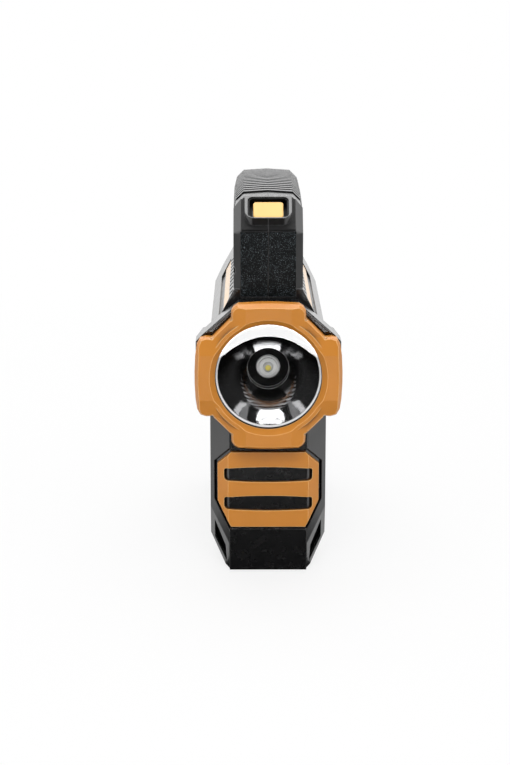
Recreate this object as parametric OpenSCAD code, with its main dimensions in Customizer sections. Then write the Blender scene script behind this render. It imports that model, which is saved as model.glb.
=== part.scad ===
// Hand-held car jump starter with a spotlight head, an arched carry handle and a covered socket bay.
// Millimetres. X runs across the case, Y from the lamp towards the socket bay, Z upwards from the ground.
// Inside the modules a depth is counted from the foremost face of the bezel, and placed() centres the
// finished piece on the origin. Outlines run counter-clockwise.

/* [Case] */
// Width of the case between its flat sides
case_w = 58.4; // [57:0.2:62]
// Depth of the case from its front face to its back face
case_d = 168; // [164:1:180]
// Height of the flat crown that the handle stands on
crown_z = 144.3; // [142:0.5:148]
// Width of the flat crown
crown_w = 34.2; // [32:0.2:36]
// Width of the flat bottom
bottom_w = 42; // [40:0.2:46]
// Height at which the sides start to draw in towards the bottom
taper_z = 17; // [14:0.5:22]
// Height at which the sides end and the shoulders start
side_z = 120.7; // [118:0.2:123]
// Width of the narrow break between each side and its shoulder
break_w = 2.2; // [1.6:0.1:3]
// Width of the flat front face between its slanted flanks
front_w = 39; // [37:0.2:39.4]
// Wall of the moulded halves
wall = 2.6; // [2.2:0.1:3]
// Slant cut off the upright back edges
back_slant = 4; // [3:0.5:4.6]
// Small break along the bottom edges
edge_break = 1.8; // [1.8:0.1:2.4]
// Height at which the cut-back lower corners start at the front face
corner_low = 15.2; // [13:0.2:16.6]
// Height at which the cut-back lower corners end at the sides
corner_high = 32.6; // [31:0.2:34]
// Turn of the cut-back corner faces towards the sides, in degrees
corner_turn = 15; // [12:1:20]
// Depth of the pocket in each cut-back corner
pocket_d = 2.4; // [1.2:0.2:2.8]

/* [Lamp head] */
// Height of the lamp's axis above the ground
lamp_z = 103.9; // [103.3:0.2:104.9]
// Width of the bezel over its side lobes
bezel_w = 72.8; // [72:0.2:76]
// Height of the bezel over its top and bottom lobes
bezel_h = 73.6; // [72.6:0.2:75]
// Width of the top and bottom lobes
lobe_w = 37.4; // [36:0.2:39]
// Height of the side lobes
ear_h = 40; // [38:0.5:42]
// Depth of the bezel in front of the collar
bezel_d = 9; // [8.6:0.1:10]
// Drop from the bezel's raised pads to the channels between them
pad_rise = 2.4; // [1.6:0.1:2.6]
// Width of the slant along the outline of the bezel
rim_slant = 1.8; // [1.4:0.1:2.2]
// Width of the flat on each raised pad of the bezel
pad_flat_w = 22.4; // [21:0.2:24]
// Radius of the window in the bezel
window_r = 26.4; // [25.4:0.1:26.8]
// Width of the cone round the window
window_slope = 2.6; // [1.6:0.1:3]
// Thickness of the bezel lip that holds the lens
lip_t = 3.4; // [3:0.1:3.6]
// Thickness of the lens
lens_t = 2; // [1.6:0.1:2.2]
// Thickness of the seal behind the lens
seal_t = 1; // [0.8:0.1:1.2]
// Radius of the lens, the seal and the reflector flange
lamp_r = 29.3; // [29:0.1:29.6]
// Radius of the reflector at the mouth of the emitter well
well_r = 10.8; // [10:0.1:11.4]
// Depth of the well's mouth behind the reflector's rim
bowl_d = 15.9; // [15:0.1:17]
// Depth of the emitter well
well_d = 6.8; // [6:0.1:7.4]
// Radius of the emitter's round base
emitter_r = 5.7; // [5:0.1:6.4]
// Distance by which the collar's sides lie inside the bezel's
collar_inset = 0.5; // [0.3:0.1:1]
// Width of the collar's flat top
collar_top_w = 29.6; // [28.4:0.2:31]
// Height of the collar's top above the lamp's axis
collar_rise = 36; // [35.4:0.1:36.6]
// Depth of the collar from its front face to the seat on the case
collar_d = 13; // [12:0.5:14]
// Length of the skirt that the collar lays round the case
skirt_d = 9; // [7:0.5:11]

/* [Front panel] */
// Width of the panel over its folded flanks
panel_w = 51; // [48:0.2:51.4]
// Width of the panel's short top and bottom edges
panel_edge_w = 37.4; // [36.8:0.2:38.8]
// Height of the panel's bottom edge above the ground
panel_low = 24.9; // [24.3:0.2:26.3]
// Height of the panel's top edge above the ground
panel_high = 63.9; // [63.1:0.2:64.7]
// Height over which the panel's lower corners are cut
panel_cut_low = 12.6; // [11:0.2:13]
// Height over which the panel's upper corners are cut
panel_cut_high = 7.4; // [6:0.2:7.8]
// Height by which the panel stands proud of the case
panel_proud = 1.6; // [1:0.1:1.8]
// Depth of the recess that the panel lies in
panel_seat = 1; // [0.8:0.1:1.4]
// Width of the open groove round the panel
panel_groove = 1.7; // [1.5:0.1:1.9]
// Thickness of the bumper plate behind the panel
plate_t = 3; // [2.6:0.1:3.6]
// Length of each slot in the panel
slot_l = 44.4; // [42:0.2:45.6]
// Height of a slot in its middle
slot_h = 7.9; // [7:0.1:8.4]
// Height of a slot at its ends
slot_end_h = 6.4; // [5.6:0.1:6.8]
// Corner radius of the slots
slot_corner = 1.7; // [1.2:0.1:2.2]
// Height of the lower slot's centre line
slot_low = 37.3; // [36.7:0.1:37.9]
// Distance between the two slots
slot_pitch = 15; // [14.6:0.1:15.4]

/* [Handle] */
// Width of the handle
handle_w = 34.6; // [34.6:0.2:35.4]
// Depth of the handle's front face behind the bezel's foremost face
post_front = 22; // [21.6:0.2:23]
// Thickness of the front post from front to back
post_t = 25; // [23:0.5:26]
// Thickness of the back post from front to back
back_post_t = 24; // [22:0.5:26]
// Height at which the upright front face ends
brow_z = 171.6; // [171:0.2:172.2]
// Radius of the bend between the handle's front face and its slope
brow_r = 4; // [3.8:0.1:5]
// Height of the top of the grip above the ground
handle_top = 194.4; // [194:0.2:196]
// Radius of the curve that the top of the grip follows
grip_r = 308; // [300:1:320]
// Depth of the highest point of the grip
crest_d = 88; // [86:0.5:92]
// Thickness of the grip from its top to the finger gap
grip_t = 24.4; // [23.6:0.2:26]
// Depth of the nose where the handle's slope meets the curve of the grip
nose_d = 36; // [35.6:0.2:37]
// Depth at which the ribbed pad starts
pad_start = 41; // [40:0.2:42]
// Depth at which the ribbed pad ends
pad_end = 150; // [144:1:152]
// Thickness of the ribbed pad, ribs included
pad_t = 2.4; // [2.2:0.1:2.8]
// Height of the pad's ribs
rib_h = 0.8; // [0.5:0.1:1]
// Distance between two ribs of the pad, in degrees of the grip's curve
rib_pitch = 0.74; // [0.7:0.01:0.9]
// Height by which the pad stands proud of the handle's nose
pad_proud = 0.7; // [0.5:0.1:0.9]
// Height of the rise along the middle of the pad
ridge_h = 0.8; // [0.5:0.1:1]
// Slant cut off the long edges of the handle
handle_slant = 3.7; // [3:0.1:3.8]
// Lean of the grip's sides under that slant
grip_lean = 1.2; // [0.8:0.1:1.6]
// Height of the leaning part of the grip's sides
grip_lean_h = 5; // [4:0.5:6]
// Distance that the ribbed pad reaches down the sides of the grip
pad_side = 13; // [10:0.5:14]
// Width of the textured pads on the front of the handle, both together
front_pad_w = 27.4; // [26:0.2:27.6]
// Thickness of the textured pads
front_pad_t = 1; // [0.8:0.1:1.4]

/* [Power button] */
// Width of the button
button_w = 15; // [14:0.2:15.4]
// Length of the button along the slanted face
button_l = 10.8; // [10:0.2:11]
// Corner radius of the button
button_corner = 1.6; // [1:0.1:2]
// Thickness of the button's cap
button_t = 2.5; // [2:0.1:3]
// Depth at which the cap lies under the rim of its recess
button_sink = 0.6; // [0.3:0.1:1]
// Travel of the button
button_travel = 1.2; // [0.8:0.1:1.4]
// Width of the raised boss round the button
boss_w = 23.4; // [23:0.2:24.6]
// Corner radius of the boss
boss_round = 4.8; // [3.6:0.1:5.4]
// Height of the boss's rim above its root
boss_h = 6; // [5:0.5:8]
// Lean of the boss's walls, in degrees from upright
boss_lean = 16; // [10:1:24]
// Width of the recess in the boss
recess_w = 20.4; // [20:0.2:21]
// Length of the recess in the boss
recess_l = 13.9; // [13.7:0.1:14.2]

/* [Shoulder panels] */
// Width of each shoulder panel along the slope
strip_w = 6.5; // [5.4:0.1:6.8]
// Distance of each shoulder panel from the lower edge of its shoulder
strip_off = 9.3; // [8.6:0.1:9.5]
// Thickness of the shoulder panels
strip_t = 1.4; // [1:0.1:1.6]
// Depth at which the shoulder panels end
strip_end = 141; // [130:1:150]
// Distance of the sunk field from the lower edge of its shoulder
field_off = 4.4; // [3.6:0.1:5]
// Depth of the sunk field that each shoulder panel lies in
field_d = 1.2; // [0.8:0.1:1.4]
// Distance between two of the grooves beside a shoulder panel
vent_pitch = 10.8; // [10:0.1:12]
// Length of a groove along the case
vent_w = 4.2; // [3.4:0.1:5]
// Width of the row of grooves along the slope
vent_l = 4; // [3.4:0.1:4.4]
// Distance by which the upper end of a groove lies nearer to the lamp than its lower end
vent_lean = 7; // [5:0.5:8]

/* [Battery and boards] */
// Number of battery cells
cells = 4; // [4]
// Thickness of one cell
cell_t = 9.4; // [8.6:0.1:9.6]
// Length of one cell
cell_l = 98; // [92:1:102]
// Height of one cell
cell_h = 60; // [54:0.5:61]
// Foam between two cells
foam_t = 1; // [0.6:0.1:1.2]
// Wall of the battery tray
tray_t = 2; // [1.6:0.1:2.2]
// Thickness of the tray's end walls, which the main board is screwed to
tray_end_t = 6; // [5.4:0.2:6.6]
// Thickness of the circuit boards
board_t = 1.6; // [1.2:0.1:2]
// Height of the main board above the ground
board_z = 85.3; // [83.3:0.2:87.3]

/* [Socket bay] */
// Width of the socket panel
bay_w = 43; // [42:0.2:43.6]
// Height of the socket panel's lower edge
bay_low = 31.3; // [30.3:0.2:33.3]
// Height of the socket panel's upper edge
bay_high = 101.3; // [99.3:0.5:103.3]
// Thickness of the socket panel
bay_t = 3.4; // [3:0.1:4]
// Width of the hinged cover
cover_w = 39; // [38:0.2:40]
// Height of the hinged cover from its hinge axis
cover_h = 44; // [42:0.5:46]
// Thickness of the hinged cover
cover_t = 3.4; // [3:0.1:3.8]
// Radius of the hinge barrel
barrel_r = 2; // [1.9:0.05:2.2]
// Radius of the hinge pin
hinge_pin_r = 1; // [0.9:0.05:1.1]
// Radius of the check button
check_r = 4.5; // [4:0.1:4.8]
// Travel of the check button
check_travel = 0.8; // [0.6:0.1:1]

/* [Fits] */
// Radial clearance of the hinge pin
pin_fit = 0.05; // [0.03:0.01:0.08]
// Clearance between parts that move past each other or lie side by side
gap = 0.3; // [0.2:0.05:0.4]
// Height by which the feet stand out under the case
foot_proud = 0.8; // [0.6:0.1:1.2]
// Radius of the case screws
screw_r = 1.5; // [1.3:0.1:1.7]

/* [Hidden] */
$fn = 64;

// A cut runs this far past the face that it opens
over = 0.5;
// Half of a span that is wider than the whole starter
far = 130;

// Depths along the starter, from the foremost face of the bezel
lens_front = lip_t;
seal_front = lens_front + lens_t;
flange_front = seal_front + seal_t;
flange_t = 1.2;
flange_back = flange_front + flange_t;
collar_front = bezel_d;
seat_d = collar_front + collar_d;
face_d = collar_front + 1;
case_back = face_d + case_d;
collar_w = bezel_w - 2 * collar_inset;
total_d = case_back + max(gap + cover_t, 2 * barrel_r);

// Outline points of one half, completed by their mirror images
function both(p) = concat(p, [for (i = [len(p) - 1 : -1 : 0]) [-p[i].x, p[i].y]]);

// The points of an outline moved inwards by t, with every corner kept sharp
function inset(p, t) = [
  for (i = [0 : len(p) - 1])
    let (
      a = p[(i + len(p) - 1) % len(p)],
      b = p[i],
      c = p[(i + 1) % len(p)],
      u = (b - a) / norm(b - a),
      v = (c - b) / norm(c - b),
      m = [-u.y, u.x],
      n = [-v.y, v.x]
    )
    b + (m + n) * t / (1 + m * n)
];

// Points of an arc round a centre, with angles counted from straight up towards the back
function arc(centre, r, a0, a1, steps) = [
  for (i = [0 : steps])
    let (a = a0 + (a1 - a0) * i / steps)
    centre + r * [sin(a), cos(a)]
];

// Moves a piece from its depth along the starter to its place about the origin
module placed() {
  translate([0, -total_d / 2, 0])
    children();
}

// Extrudes a front view, whose second axis is the height, between two depths
module along_depth(d0, d1) {
  translate([0, d1, 0])
    rotate([90, 0, 0])
      linear_extrude(d1 - d0)
        children();
}

// Extrudes a side view of depth and height across the starter, between two distances from the middle
module across(x0, x1) {
  translate([x0, 0, 0])
    rotate([90, 0, 90])
      linear_extrude(x1 - x0)
        children();
}

// Extrudes a top view of width and depth between two heights
module upright(z0, z1) {
  translate([0, 0, z0])
    linear_extrude(z1 - z0)
      children();
}

// A cylinder along the depth, round an axis at a given place of the front view
module barrel(x, z, r, d0, d1) {
  translate([x, d1, z])
    rotate([90, 0, 0])
      cylinder(h = d1 - d0, r = r);
}

// A cylinder across the starter, round an axis at a given place of the side view
module crossbar(d, z, r, x0, x1) {
  translate([x0, d, z])
    rotate([0, 90, 0])
      cylinder(h = x1 - x0, r = r);
}

// A block between two corners
module block(low, high) {
  translate(low)
    cube(high - low);
}

// A flat bar with rounded corners, centred on its origin
module rounded_bar(w, l, r) {
  square([w - 2 * r, l], center = true);
  square([w, l - 2 * r], center = true);
  for (x = [-1, 1])
    for (y = [-1, 1])
      translate([x * (w / 2 - r), y * (l / 2 - r)])
        circle(r);
}

// Keeps the half of a piece that lies on one side of the middle plane
module half(side) {
  intersection() {
    children();
    block([side > 0 ? 0 : -far, -far, -far], [side > 0 ? far : 0, 2 * far, 2 * far]);
  }
}

// ---- Case ----

taper_foot = [bottom_w / 2, foot_proud];
taper_top = [case_w / 2, taper_z];
taper_break = 0.8 * edge_break;

case_outline = both([
  taper_foot - [taper_break, 0],
  taper_foot + taper_break * (taper_top - taper_foot) / norm(taper_top - taper_foot),
  taper_top,
  [case_w / 2, side_z],
  [case_w / 2 - break_w, side_z + 2 * break_w],
  [crown_w / 2, crown_z]
]);

case_plan = both([
  [front_w / 2, face_d],
  [case_w / 2, face_d + (case_w - front_w) / 2],
  [case_w / 2, case_back - back_slant],
  [case_w / 2 - back_slant, case_back]
]);

case_side = [
  [face_d + edge_break, foot_proud],
  [case_back - edge_break, foot_proud],
  [case_back, foot_proud + edge_break],
  [case_back, crown_z - 14],
  [case_back - 7, crown_z],
  [post_front, crown_z],
  [post_front, lamp_z - 10],
  [face_d, lamp_z - 10],
  [face_d, foot_proud + edge_break]
];

// Frame of a cut-back corner face: its edge runs from the front face up to the side
corner_foot = [front_w / 2, face_d, corner_low];
corner_head = [case_w / 2, face_d + (case_w - front_w) / 2, corner_high];
corner_edge = (corner_head - corner_foot) / norm(corner_head - corner_foot);
flank_normal = [sqrt(0.5), -sqrt(0.5), 0];
corner_normal = cos(corner_turn) * flank_normal + sin(corner_turn) * cross(corner_edge, flank_normal);
corner_side = cross(corner_edge, corner_normal);

// Everything outside the right-hand cut-back corner face, moved inwards by t
module corner_outside(t) {
  multmatrix([
    [corner_side.x, corner_edge.x, corner_normal.x, corner_foot.x],
    [corner_side.y, corner_edge.y, corner_normal.y, corner_foot.y],
    [corner_side.z, corner_edge.z, corner_normal.z, corner_foot.z],
    [0, 0, 0, 1]
  ])
    block([-60, -60, -t], [60, 60, 40]);
}

// The two cut-back lower corners, which leave the front bumper standing between them
module corner_cuts(t) {
  for (side = [0, 1])
    mirror([side, 0, 0])
      intersection() {
        corner_outside(t);
        block([front_w / 2 - t, 0, -far], [far, face_d + 60, corner_high + 10]);
      }
}

// The case without its handle, with all its faces moved inwards by t
module case_block(t) {
  difference() {
    intersection() {
      along_depth(face_d + t, case_back - t)
        polygon(inset(case_outline, t));
      upright(0, crown_z)
        polygon(inset(case_plan, t));
      across(-far, far)
        polygon(inset(case_side, t));
    }
    corner_cuts(t);
  }
}

// Pockets in the cut-back corners
pocket_side = case_w / 2 - 2.2;
pocket_foot = front_w / 2 + 1.4;
pocket_outline = [
  [pocket_foot, foot_proud + 3.6],
  [pocket_side, taper_z - 1.4],
  [pocket_side, corner_high - 7],
  [pocket_foot + 0.6, corner_low - 1.8]
];

module corner_pockets() {
  for (side = [0, 1])
    mirror([side, 0, 0])
      intersection() {
        corner_outside(pocket_d);
        along_depth(face_d, face_d + 60)
          polygon(pocket_outline);
      }
}

// ---- Handle ----

grip_axis = [crest_d, handle_top - grip_r];
under_r = grip_r - grip_t;
body_r = grip_r - pad_proud;
brow = [post_front, brow_z];
brow_axis = brow + [brow_r, 0];
// The face slopes from the end of the brow's bend to the nose
nose = [nose_d, grip_axis.y + sqrt(pow(body_r, 2) - pow(nose_d - crest_d, 2))];
brow_turn = 44;
brow_end = brow_axis + brow_r * [-cos(brow_turn), sin(brow_turn)];
pad_a0 = asin((pad_start - crest_d) / grip_r);
pad_a1 = asin((pad_end - crest_d) / grip_r);
nose_a = asin((nose.x - crest_d) / body_r);
tail_a = pad_a1 + 0.6;
tail = grip_axis + body_r * [sin(tail_a), cos(tail_a)];
back_post = case_back - 8;

handle_outer = concat(
  [
    [post_front, lamp_z + 20],
    [back_post, lamp_z + 20],
    [back_post, crown_z + 14],
    tail + [12, -7],
    tail
  ],
  arc(grip_axis, body_r + 1, tail_a - 0.1, nose_a + 0.1, 24),
  [nose],
  arc(brow_axis, brow_r, brow_turn - 90, -90, 6)
);

gap_front = post_front + post_t;
gap_back = back_post - back_post_t;
gap_round = 7;
gap_top = arc(
  grip_axis, under_r,
  asin((gap_back - gap_round - crest_d) / under_r),
  asin((gap_front + gap_round - crest_d) / under_r), 20
);

finger_gap = concat(
  [[gap_front + 2, crown_z], [gap_back - 2, crown_z], [gap_back, crown_z + 4]],
  [[gap_back, gap_top[0].y - gap_round]],
  [gap_top[0] + [gap_round * 0.7, -gap_round * 0.3]],
  gap_top,
  [gap_top[len(gap_top) - 1] + [-gap_round * 0.7, -gap_round * 0.3]],
  [[gap_front, gap_top[len(gap_top) - 1].y - gap_round], [gap_front, crown_z + 4]]
);

// Turns a section, given as radius and width, round the axis of the grip
module round_grip(a0, a1) {
  translate([0, grip_axis.x, grip_axis.y])
    rotate([0, -90, 0])
      rotate([0, 0, a0])
        rotate_extrude(angle = a1 - a0, $fn = 360)
          children();
}

// A wedge that slants both long edges of one outer face of the handle, from p to q of its side view,
// and that runs on by a further length before p and after q
module edge_wedge(p, q, before, after) {
  u = (q - p) / norm(q - p);
  inward = [u.y, -u.x];
  for (side = [0, 1])
    mirror([side, 0, 0])
      multmatrix([
        [1, 0, 0, handle_w / 2],
        [0, inward.x, u.x, p.x],
        [0, inward.y, u.y, p.y],
        [0, 0, 0, 1]
      ])
        translate([0, 0, -before])
          linear_extrude(norm(q - p) + before + after)
            polygon([[-handle_slant - 1, -1], [1, -1], [1, handle_slant + 1]]);
}

// Slants and the low rise along the curved top of the handle
module top_wedges() {
  side_x = handle_w / 2;
  for (side = [0, 1])
    mirror([side, 0, 0])
      round_grip(nose_a - 0.3, pad_a1 + 3)
        polygon([
          [body_r, 0],
          [body_r - ridge_h, -side_x + grip_lean + handle_slant],
          [body_r - ridge_h - handle_slant, -side_x + grip_lean],
          [body_r - ridge_h - handle_slant - grip_lean_h, -side_x],
          [body_r - ridge_h - handle_slant - grip_lean_h, -side_x - 1],
          [body_r + 3, -side_x - 1],
          [body_r + 3, 0]
        ]);
}

// Slants along the bend of the brow
module brow_wedges() {
  side_x = handle_w / 2;
  for (side = [0, 1])
    mirror([side, 0, 0])
      translate([0, brow_axis.x, brow_axis.y])
        rotate([0, -90, 0])
          rotate([0, 0, -90])
            rotate_extrude(angle = brow_turn)
              polygon([
                [brow_r - handle_slant, side_x],
                [brow_r + 1, side_x - handle_slant - 1],
                [brow_r + 1, side_x + 1],
                [brow_r - handle_slant, side_x + 1]
              ]);
}

// The raised boss that carries the button: its sloping top runs from lip to nose
lip = brow + [1.4, 8];
boss_run = nose - lip;
boss_angle = atan2(boss_run.y, boss_run.x);

module button_boss() {
  intersection() {
    translate([0, lip.x, lip.y])
      rotate([boss_lean, 0, 0])
        translate([0, boss_w / 2, -boss_h])
          linear_extrude(boss_h + boss_w)
            rounded_bar(boss_w, boss_w, boss_round);
    across(-far, far)
      polygon([lip - [4, 20], [nose.x, lip.y - 20], nose, lip, lip - [4, 0]]);
  }
}

// Turns a piece drawn on a flat plan so that it lies on the boss's slope, s up from its lip
module on_boss(s) {
  translate([0, lip.x + s * cos(boss_angle), lip.y + s * sin(boss_angle)])
    rotate([boss_angle, 0, 0])
      children();
}

recess_s = norm(boss_run) / 2 - 0.4;
button_s = recess_s - 1.1;

module handle_body() {
  difference() {
    union() {
      difference() {
        across(-handle_w / 2, handle_w / 2)
          polygon(handle_outer);
        edge_wedge([post_front, crown_z], brow, 20, 0);
        brow_wedges();
        edge_wedge(brow_end, nose, 0.8, 3);
        edge_wedge(tail + [12, -7], [back_post, crown_z + 14], 20, 20);
        top_wedges();
      }
      button_boss();
    }
    across(-far, far)
      polygon(finger_gap);
  }
}

// ---- Ribbed grip pad ----

// Section of the grip at a radius r: a low rise in the middle, slanted edges and leaning sides
function grip_section(r, w, reach, slant) = [
  [r - reach, -w / 2],
  [r - ridge_h - slant - grip_lean_h, -w / 2],
  [r - ridge_h - slant, -w / 2 + grip_lean],
  [r - ridge_h, -w / 2 + grip_lean + slant],
  [r, 0],
  [r - ridge_h, w / 2 - grip_lean - slant],
  [r - ridge_h - slant, w / 2 - grip_lean],
  [r - ridge_h - slant - grip_lean_h, w / 2],
  [r - reach, w / 2]
];

core_r = grip_r - pad_t;
core_w = handle_w - 2 * pad_t;

// Everything outside the core that the pad is moulded on
module pad_zone() {
  slack = asin(gap / grip_r);
  round_grip(pad_a0 - slack, pad_a1 + slack)
    difference() {
      polygon([
        [grip_r - pad_side, -handle_w],
        [grip_r + 5, -handle_w],
        [grip_r + 5, handle_w],
        [grip_r - pad_side, handle_w]
      ]);
      polygon(grip_section(core_r, core_w, pad_side + 5, handle_slant - 1));
    }
}

rib_count = floor((pad_a1 - pad_a0 - 0.6) / rib_pitch);

// A stretch of the pad between two angles, from one depth below the ribs' tops to another
module pad_layer(a0, a1, out, deep, reach) {
  round_grip(a0, a1)
    difference() {
      polygon(grip_section(grip_r - out, handle_w - 2 * out, reach - out, handle_slant));
      polygon(grip_section(grip_r - deep, handle_w - 2 * deep, pad_side + 5, handle_slant - 1));
    }
}

module grip_pad() {
  color("#3a3b3c")
    placed() {
      pad_layer(pad_a0, pad_a1, rib_h, pad_t, pad_side);
      for (i = [0 : rib_count - 1])
        let (a = pad_a0 + 0.3 + i * rib_pitch)
        pad_layer(a, a + rib_pitch * 0.52, 0, rib_h + 0.4, pad_side - 1);
    }
}

// ---- Textured pads on the front of the handle ----

front_pad_low = lamp_z + collar_rise + 0.6;
front_pad_high = brow_z + 1.2;

module front_pad(side) {
  placed()
    block(
      [side > 0 ? gap : -front_pad_w / 2, post_front, front_pad_low],
      [side > 0 ? front_pad_w / 2 : -gap, post_front + front_pad_t, front_pad_high]
    );
}

module front_pad_left() {
  color("#21262a")
    front_pad(-1);
}

module front_pad_right() {
  color("#21262a")
    front_pad(1);
}

// ---- Shoulder panels ----

shoulder_foot = [case_w / 2 - break_w, side_z + 2 * break_w];
shoulder_run = [crown_w / 2, crown_z] - shoulder_foot;
shoulder_angle = atan2(shoulder_run.y, shoulder_run.x);
strip_start = post_front + 2;
strip_seat = 0.6;
strip_top = field_d - strip_t + strip_seat;

// Lays a plan of depth and slope on the right shoulder, with its third axis pointing out of the case
module on_shoulder() {
  translate([shoulder_foot.x, 0, shoulder_foot.y])
    rotate([0, -shoulder_angle, 0])
      multmatrix([[0, 1, 0, 0], [1, 0, 0, 0], [0, 0, -1, 0], [0, 0, 0, 1]])
        children();
}

// A bar on the shoulder: the panel's outline grown sideways, between two heights over the shoulder
module shoulder_strip(grow, low, high) {
  on_shoulder()
    translate([strip_start - grow, strip_off - grow, low])
      cube([strip_end - strip_start + 2 * grow, strip_w + 2 * grow, high - low]);
}

vent_count = floor((strip_end - strip_start - vent_lean) / vent_pitch);
vent_off = strip_off + strip_w + 0.6;
vent_d = 1.1;

// The sunk field, the seat of the panel and the row of leaning grooves above it
module shoulder_field() {
  on_shoulder()
    translate([strip_start - 1, field_off, -field_d])
      cube([strip_end - strip_start + 2, strip_off + strip_w + gap - field_off, 3]);
  shoulder_strip(gap, -field_d - strip_seat, 0);
  on_shoulder()
    for (i = [0 : vent_count - 1])
      let (d = strip_start + vent_lean + i * vent_pitch)
      translate([0, 0, -vent_d])
        linear_extrude(3)
          polygon([
            [d, vent_off],
            [d + vent_w, vent_off],
            [d + vent_w - vent_lean, vent_off + vent_l],
            [d - vent_lean, vent_off + vent_l]
          ]);
}

// Room kept solid behind the seat of the panel
module shoulder_backing() {
  shoulder_strip(1.6, -field_d - strip_seat - 1.6, 0);
}

module shoulder_panel() {
  shoulder_strip(0, -field_d - strip_seat, -strip_top);
}

module shoulder_panel_right() {
  color("#e8a552")
    placed()
      shoulder_panel();
}

module shoulder_panel_left() {
  color("#e8a552")
    placed()
      mirror([1, 0, 0])
        shoulder_panel();
}

// ---- Lamp head ----

// Half of the bezel's upper or lower outline, from the middle of a lobe to the middle of an ear
function bezel_quarter(w, h, lobe, ear) = [
  [4, h / 2],
  [lobe / 2 - 3.7, h / 2 - 0.6],
  [lobe / 2 - 1.7, h / 2 - 1.9],
  [lobe / 2 - 0.5, h / 2 - 3.8],
  [lobe / 2 - 0.2, h / 2 - 7.7],
  [w / 2 - 8.6, ear / 2 - 0.2],
  [w / 2 - 5.6, ear / 2],
  [w / 2 - 2.8, ear / 2 - 0.9],
  [w / 2 - 1.2, ear / 2 - 3.8],
  [w / 2 - 0.4, ear / 2 - 9],
  [w / 2, 3]
];
upper = bezel_quarter(bezel_w, bezel_h, lobe_w, ear_h);
bezel_outline = both(concat(
  [for (p = upper) [p.x, -p.y]],
  [for (i = [len(upper) - 1 : -1 : 0]) upper[i]]
));

rim_slant_d = 2 * rim_slant;

// Slants the front edge of an outline: each side is cut by a wedge that runs on past an outward corner
// and stops at the mitre of an inward one
module slant_cuts(points) {
  n = len(points);
  for (i = [0 : n - 1])
    let (
      o = points[(i + n - 1) % n],
      p = points[i],
      q = points[(i + 1) % n],
      r = points[(i + 2) % n],
      u = (q - p) / norm(q - p),
      before = cross(p - o, q - p) > 0 ? rim_slant : 0.4 * rim_slant,
      after = cross(q - p, r - q) > 0 ? rim_slant : 0.4 * rim_slant
    )
    multmatrix([
      [0, -u.y, u.x, p.x],
      [1, 0, 0, 0],
      [0, u.x, u.y, p.y],
      [0, 0, 0, 1]
    ])
      translate([0, 0, -before])
        linear_extrude(norm(q - p) + before + after)
          polygon([
            [-rim_slant_d, 2 * rim_slant],
            [-rim_slant_d, -rim_slant],
            [2 * rim_slant_d, -rim_slant]
          ]);
}

// A raised pad with broad flanks, in a frame whose third axis points away from the lamp's axis
module raised_pad(foot_w, reach) {
  linear_extrude(reach)
    polygon([
      [-foot_w / 2, bezel_d],
      [-foot_w / 2, pad_rise],
      [-pad_flat_w / 2, 0],
      [pad_flat_w / 2, 0],
      [foot_w / 2, pad_rise],
      [foot_w / 2, bezel_d]
    ]);
}

module bezel() {
  color("#d9903f")
    placed()
      translate([0, 0, lamp_z])
        difference() {
          union() {
            along_depth(pad_rise, bezel_d)
              polygon(bezel_outline);
            intersection() {
              union() {
                for (turn = [0, 180])
                  rotate([0, turn, 0])
                    raised_pad(lobe_w + 1, bezel_h / 2);
                for (turn = [90, 270])
                  rotate([0, turn, 0])
                    raised_pad(ear_h + 0.4, bezel_w / 2);
                barrel(0, 0, window_r + window_slope + 1, pad_rise - 1.4, bezel_d);
              }
              along_depth(0, bezel_d)
                polygon(bezel_outline);
            }
          }
          slant_cuts(bezel_outline);
          barrel(0, 0, window_r, -over, bezel_d);
          barrel(0, 0, lamp_r + gap, lip_t, bezel_d + over);
          translate([0, -over, 0])
            rotate([-90, 0, 0])
              cylinder(h = lip_t - 0.6 + over, r1 = window_r + window_slope + over, r2 = window_r);
        }
}

collar_outline = [
  for (p = both([
    [lobe_w / 2 - 3.7, -bezel_h / 2 + 2.6],
    [lobe_w / 2 - 0.7, -bezel_h / 2 + 8],
    [bezel_w / 2 - 7.4, -ear_h / 2 + 1.4],
    [collar_w / 2, -ear_h / 2 + 7],
    [collar_w / 2, ear_h / 2 - 3.4],
    [collar_w / 2 - 3.3, ear_h / 2 + 0.1],
    [lobe_w / 2 - 0.3, collar_rise - 3.2],
    [collar_top_w / 2, collar_rise]
  ]))
    p + [0, lamp_z]
];

bore_r = 28;
tube_r = 18;
tube_t = 2.4;
bowl_front = seal_front + 0.1;
led_board_d = bowl_front + bowl_d + well_d;
sink_d = led_board_d + board_t;

module head_collar() {
  color("#2b2b2d")
    placed()
      difference() {
        union() {
          along_depth(collar_front, seat_d)
            polygon(collar_outline);
          collar_skirt();
          barrel(0, lamp_z, lamp_r, flange_back, collar_front + 1);
          barrel(0, lamp_z, tube_r + tube_t, seat_d - 1, sink_d);
        }
        barrel(0, lamp_z, bore_r, flange_back - over, seat_d - 2);
        barrel(0, lamp_z, tube_r, seat_d - 3, sink_d + over);
        for (side = [0, 1])
          mirror([side, 0, 0])
            collar_channel();
      }
}

// Tapering skirt that the collar lays round the sides of the case
skirt_end = 0.8;

module collar_skirt() {
  difference() {
    intersection() {
      along_depth(seat_d, seat_d + skirt_d)
        polygon(collar_outline);
      upright(lamp_z - ear_h / 2 + 4, lamp_z + ear_h / 2)
        polygon(both([
          [collar_w / 2, seat_d - 1],
          [case_w / 2 + skirt_end, seat_d + skirt_d]
        ]));
    }
    along_depth(seat_d - over, seat_d + skirt_d + over)
      polygon(inset(case_outline, -gap));
  }
}

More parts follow.
